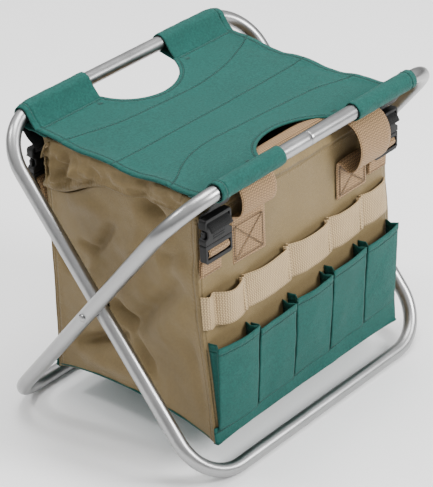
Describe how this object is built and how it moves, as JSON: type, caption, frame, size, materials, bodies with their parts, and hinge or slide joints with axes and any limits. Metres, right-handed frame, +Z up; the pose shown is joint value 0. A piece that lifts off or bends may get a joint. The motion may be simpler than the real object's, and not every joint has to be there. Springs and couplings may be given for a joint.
{
  "type": "folding garden tool stool",
  "caption": "Low folding stool with two crossed tube hoops, a canvas seat sleeved on the top bars and a pocketed tool bag hung under it from side-release buckles.",
  "frame": {"origin": "centre of the footprint on the floor, midway between the two floor bars and the two ends", "axes": "X along the bars, -Y towards the pockets, +Z up"},
  "size_m": [0.4324, 0.2882, 0.3492],
  "materials": {
    "tube": "satin, lightly brushed along the tube",
    "rivet": "plain, slightly domed and rubbed",
    "canvas": "dark green polyester canvas, plain weave, matte",
    "bag_cloth": "tan polyester cloth, plain weave, slight sheen",
    "webbing": "tan webbing, ribbed across",
    "black_strap": "black webbing",
    "plastic": "black moulded acetal, satin",
    "board": "black sheet, dull"
  },
  "bodies": {
    "outer_frame": {"outer_hoop_tube": "tube", "outer_hoop_joint_sleeve": "tube", "pivot_rivet_left": "rivet", "pivot_rivet_right": "rivet", "pivot_spacer_left": "plastic", "pivot_spacer_right": "plastic", "pivot_washer_left": "rivet", "pivot_washer_right": "rivet", "seat_sleeve_front_left": "canvas", "seat_sleeve_front_right": "canvas", "seat_canvas": "canvas", "buckle_housing_front_left": "plastic", "buckle_housing_front_right": "plastic", "hanger_strap_front_left": "black_strap", "hanger_strap_front_right": "black_strap"},
    "inner_frame": {"inner_hoop_tube": "tube", "inner_hoop_joint_sleeve": "tube", "seat_sleeve_rear_left": "canvas", "seat_sleeve_rear_right": "canvas", "hanger_strap_rear_left": "black_strap", "hanger_strap_rear_right": "black_strap"},
    "rear_buckles": {"buckle_housing_rear_left": "plastic", "buckle_housing_rear_right": "plastic"},
    "bag": {"bag_front_panel": "bag_cloth", "bag_end_left": "bag_cloth", "bag_end_right": "bag_cloth", "bag_hem_front": "bag_cloth", "bag_hem_left": "bag_cloth", "bag_hem_right": "bag_cloth", "bag_base": "canvas", "base_board": "board", "base_band_front": "canvas", "pocket_1": "canvas", "pocket_2": "canvas", "pocket_3": "canvas", "pocket_4": "canvas", "pocket_5": "canvas", "tool_loop_webbing": "webbing", "handle_front": "webbing", "buckle_plug_front_left": "plastic", "buckle_plug_front_right": "plastic", "buckle_tab_front_left": "webbing", "buckle_tab_front_right": "webbing"},
    "bag_rear": {"bag_rear_panel": "bag_cloth", "bag_hem_rear": "bag_cloth", "base_band_rear": "canvas", "handle_rear": "webbing", "buckle_plug_rear_left": "plastic", "buckle_plug_rear_right": "plastic", "buckle_tab_rear_left": "webbing", "buckle_tab_rear_right": "webbing"}
  },
  "joints": [
    {"name": "fold", "type": "hinge", "parent": "outer_frame", "child": "inner_frame", "pos_m": [0, 0, 0.1749], "axis": [1, 0, 0], "range_deg": [0, 72], "deforming": ["seat_canvas", "bag_end_left", "bag_end_right", "bag_base", "base_board", "bag_hem_left", "bag_hem_right", "hanger_strap_rear_left", "hanger_strap_rear_right", "handle_front", "handle_rear"]},
    {"name": "rear_buckle_swing", "type": "hinge", "parent": "inner_frame", "child": "rear_buckles", "pos_m": [0, 0.1262, 0.301], "axis": [1, 0, 0], "range_deg": [-72, 0]},
    {"name": "bag_release", "type": "slide", "parent": "outer_frame", "child": "bag", "axis": [0, 0, -1], "range_m": [0, 0.03]},
    {"name": "rear_plug_release", "type": "slide", "parent": "rear_buckles", "child": "bag_rear", "axis": [0, 0, -1], "range_m": [0, 0.03]}
  ],
  "couplings": [
    {"joint": "rear_buckle_swing", "follows": "fold", "ratio": -1},
    {"joint": "rear_plug_release", "follows": "bag_release", "ratio": 1}
  ]
}
